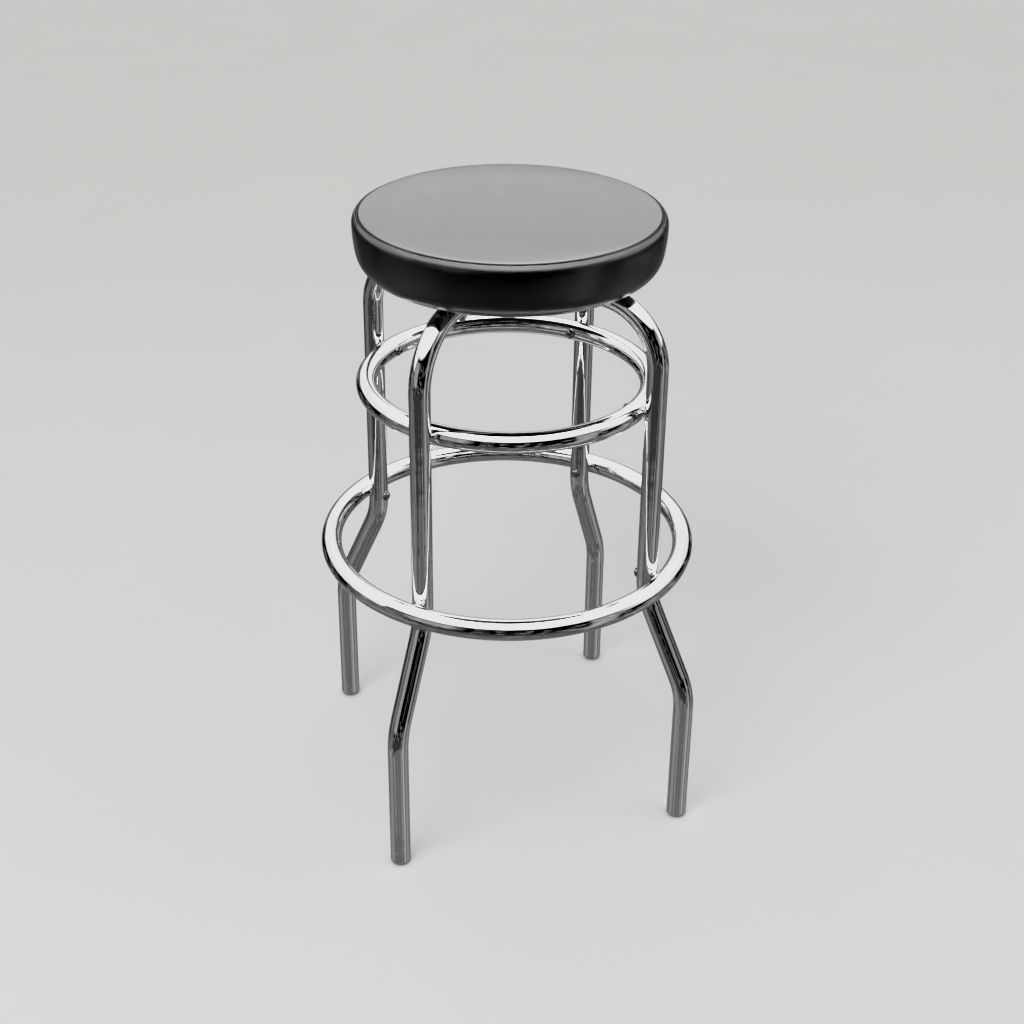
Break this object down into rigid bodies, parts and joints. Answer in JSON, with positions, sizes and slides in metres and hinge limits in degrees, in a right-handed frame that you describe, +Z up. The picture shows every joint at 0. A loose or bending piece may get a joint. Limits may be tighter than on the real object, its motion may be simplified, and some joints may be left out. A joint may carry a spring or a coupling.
{
  "type": "bar stool",
  "caption": "Tall backless stool: bent chrome tube legs joined by a smaller upper ring and a larger foot ring, under a thick round black padded seat that swivels.",
  "frame": {"origin": "on the floor, under the centre of the seat and of both rings", "axes": "+Z up along the swivel axis; -Y to the front, between the two front legs; +X to the right; the legs stand on the diagonals"},
  "size_m": [0.4761, 0.4762, 0.79],
  "materials": {
    "chrome_tube": "polished chrome plate on steel tube",
    "bright_screws": "bright nickel-plated steel",
    "zinc_steel": "zinc-plated steel, satin",
    "black_plate": "black powder coat, satin",
    "bearing_steel": "ground and polished steel",
    "glide_plastic": "moulded grey polyethylene, satin",
    "black_vinyl": "black upholstery vinyl, fine grain, glossy",
    "plywood": "bare birch plywood",
    "foam": "cut polyurethane foam",
    "cambric": "black non-woven dust cover"
  },
  "bodies": {
    "frame": {"leg_front_left": "chrome_tube", "leg_front_right": "chrome_tube", "leg_rear_right": "chrome_tube", "leg_rear_left": "chrome_tube", "upper_ring": "chrome_tube", "foot_ring": "chrome_tube", "glide_front_left": "glide_plastic", "glide_front_right": "glide_plastic", "glide_rear_right": "glide_plastic", "glide_rear_left": "glide_plastic", "upper_ring_screws": "bright_screws", "upper_ring_washers": "bright_screws", "upper_ring_inserts": "zinc_steel", "foot_ring_screws": "bright_screws", "foot_ring_washers": "bright_screws", "foot_ring_inserts": "zinc_steel", "swivel_lower_plate": "black_plate", "swivel_balls": "bearing_steel", "ball_cage": "zinc_steel", "swivel_rivet": "zinc_steel", "leg_bolts": "zinc_steel", "leg_nuts": "zinc_steel"},
    "seat": {"swivel_upper_plate": "black_plate", "seat_screws": "zinc_steel", "tee_nuts": "zinc_steel", "seat_board": "plywood", "seat_foam": "foam", "edge_roll": "foam", "seat_top_panel": "black_vinyl", "seat_side_band": "black_vinyl", "dust_cover": "cambric", "staples": "zinc_steel"}
  },
  "joints": [
    {"name": "seat_swivel", "type": "hinge", "parent": "frame", "child": "seat", "pos_m": [0, 0, 0.71945], "axis": [0, 0, 1], "continuous": true}
  ]
}
